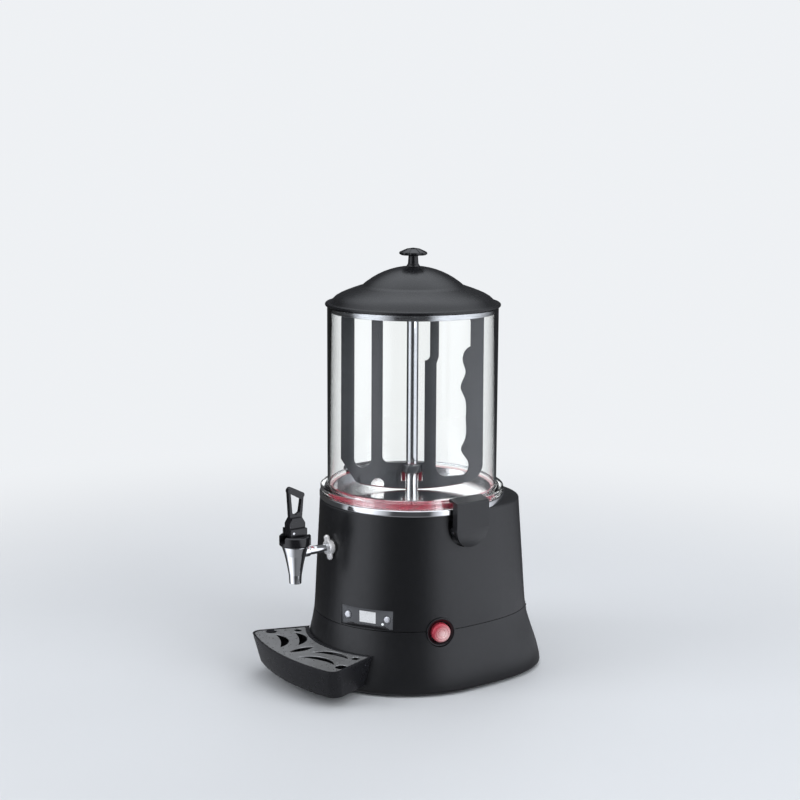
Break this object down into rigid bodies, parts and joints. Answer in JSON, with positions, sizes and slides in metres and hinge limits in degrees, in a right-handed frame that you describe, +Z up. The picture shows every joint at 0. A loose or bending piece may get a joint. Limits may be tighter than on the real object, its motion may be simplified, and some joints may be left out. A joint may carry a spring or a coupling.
{
  "type": "hot chocolate dispenser",
  "caption": "Countertop drink dispenser: clear heated bowl with a turning paddle and a domed lid, on a flared housing with a lever tap, side latches, a control panel and a drip tray.",
  "frame": {"origin": "middle of the footprint, on the surface that the feet stand on", "axes": "+Z up; the tap and the drip tray face -Y; the power button is on the +X side"},
  "size_m": [0.2896, 0.3881, 0.5833],
  "materials": {
    "housing_black": "fine matte",
    "latch_black": "fine matte",
    "tray_black": "satin",
    "lid_black": "satin",
    "paddle_grey": "satin",
    "clear_plastic": "clear, polished",
    "red_rubber": "soft satin",
    "black_rubber": "matte",
    "steel": "brushed",
    "bright_steel": "polished",
    "chrome": "polished",
    "tap_black": "polished",
    "brass": "satin",
    "base_black": "powder coat",
    "motor_grey": "satin",
    "nylon_white": "satin",
    "panel_grey": "satin",
    "display_grey": "smooth",
    "lamp_white": "clear",
    "button_silver": "metallic",
    "switch_red": "translucent",
    "board_green": "solder mask"
  },
  "bodies": {
    "machine": {"lower_housing": "housing_black", "upper_housing": "housing_black", "base_plate": "base_black", "rubber_feet": "black_rubber", "housing_screws": "steel", "seat_ring": "bright_steel", "bowl": "clear_plastic", "bowl_gasket": "red_rubber", "bowl_pan": "steel", "centre_column": "steel", "column_bushes": "nylon_white", "water_tank": "steel", "tank_seal": "black_rubber", "heating_element": "steel", "tank_nuts": "brass", "thermal_cutout": "nylon_white", "drain_pipe": "steel", "drain_cap": "black_rubber", "outlet_pipe": "steel", "outlet_union": "brass", "tap_shank": "chrome", "tap_washers": "black_rubber", "wing_nut": "chrome", "tap_body": "chrome", "tap_bonnet": "tap_black", "lever_pin": "steel", "latch_pins": "steel", "latch_springs": "steel", "gear_case": "motor_grey", "gear_case_lid": "motor_grey", "gear_motor": "motor_grey", "motor_posts": "steel", "panel_fascia": "panel_grey", "panel_display": "display_grey", "panel_lamp": "lamp_white", "thermostat_box": "tap_black", "switch_bezel": "tap_black", "switch_body": "tap_black", "power_inlet": "tap_black", "control_board": "board_green"},
    "lid_set": {"lid": "lid_black", "lid_skirt": "bright_steel", "lid_knob": "lid_black", "knob_screw": "steel"},
    "paddle_set": {"paddle": "paddle_grey", "drive_shaft": "steel", "output_gear": "nylon_white"},
    "pinion": {"motor_pinion": "steel"},
    "tap_handle": {"tap_lever": "tap_black"},
    "valve": {"valve_stem": "steel", "stem_pin": "steel", "valve_seal": "black_rubber", "valve_spring": "steel"},
    "right_latch": {"latch_right": "latch_black"},
    "left_latch": {"latch_left": "latch_black"},
    "tray": {"drip_tray": "tray_black"},
    "grille": {"drip_grille": "steel"},
    "left_button": {"button_left": "button_silver"},
    "right_button": {"button_right": "button_silver"},
    "switch_cap": {"power_button": "switch_red"}
  },
  "joints": [
    {"name": "lid_lift", "type": "slide", "parent": "machine", "child": "lid_set", "axis": [0, 0, 1], "range_m": [0, 0.15]},
    {"name": "paddle_spin", "type": "hinge", "parent": "machine", "child": "paddle_set", "pos_m": [0, 0.02305, 0.125], "axis": [0, 0, 1], "continuous": true},
    {"name": "pinion_spin", "type": "hinge", "parent": "machine", "child": "pinion", "pos_m": [0, 0.05905, 0.125], "axis": [0, 0, 1], "continuous": true},
    {"name": "tap_lever_tilt", "type": "hinge", "parent": "machine", "child": "tap_handle", "pos_m": [0, -0.17495, 0.217], "axis": [1, 0, 0], "range_deg": [0, 25], "stiffness_Nm_per_rad": 0.8},
    {"name": "valve_lift", "type": "slide", "parent": "machine", "child": "valve", "axis": [0, 0, 1], "range_m": [0, 0.0037], "deforming": ["valve_spring"]},
    {"name": "right_latch_swing", "type": "hinge", "parent": "machine", "child": "right_latch", "pos_m": [0.1295, 0.02305, 0.2185], "axis": [0, 1, 0], "range_deg": [0, 35], "stiffness_Nm_per_rad": 0.2},
    {"name": "left_latch_swing", "type": "hinge", "parent": "machine", "child": "left_latch", "pos_m": [-0.1295, 0.02305, 0.2185], "axis": [0, -1, 0], "range_deg": [0, 35], "stiffness_Nm_per_rad": 0.2},
    {"name": "tray_slide", "type": "slide", "parent": "machine", "child": "tray", "axis": [0, -1, 0], "range_m": [0, 0.07]},
    {"name": "grille_lift", "type": "slide", "parent": "tray", "child": "grille", "axis": [0, 0, 1], "range_m": [0, 0.05]},
    {"name": "left_button_press", "type": "slide", "parent": "machine", "child": "left_button", "axis": [-0.4879, 0.8729, 0], "range_m": [0, 0.001], "stiffness_N_per_m": 400},
    {"name": "right_button_press", "type": "slide", "parent": "machine", "child": "right_button", "axis": [-0.4879, 0.8729, 0], "range_m": [0, 0.001], "stiffness_N_per_m": 400},
    {"name": "switch_press", "type": "slide", "parent": "machine", "child": "switch_cap", "axis": [-0.9478, 0.319, 0], "range_m": [0, 0.003], "stiffness_N_per_m": 500}
  ],
  "couplings": [
    {"joint": "pinion_spin", "follows": "paddle_spin", "ratio": -4.1429},
    {"joint": "valve_lift", "follows": "tap_lever_tilt", "m_per_rad": 0.0083}
  ]
}
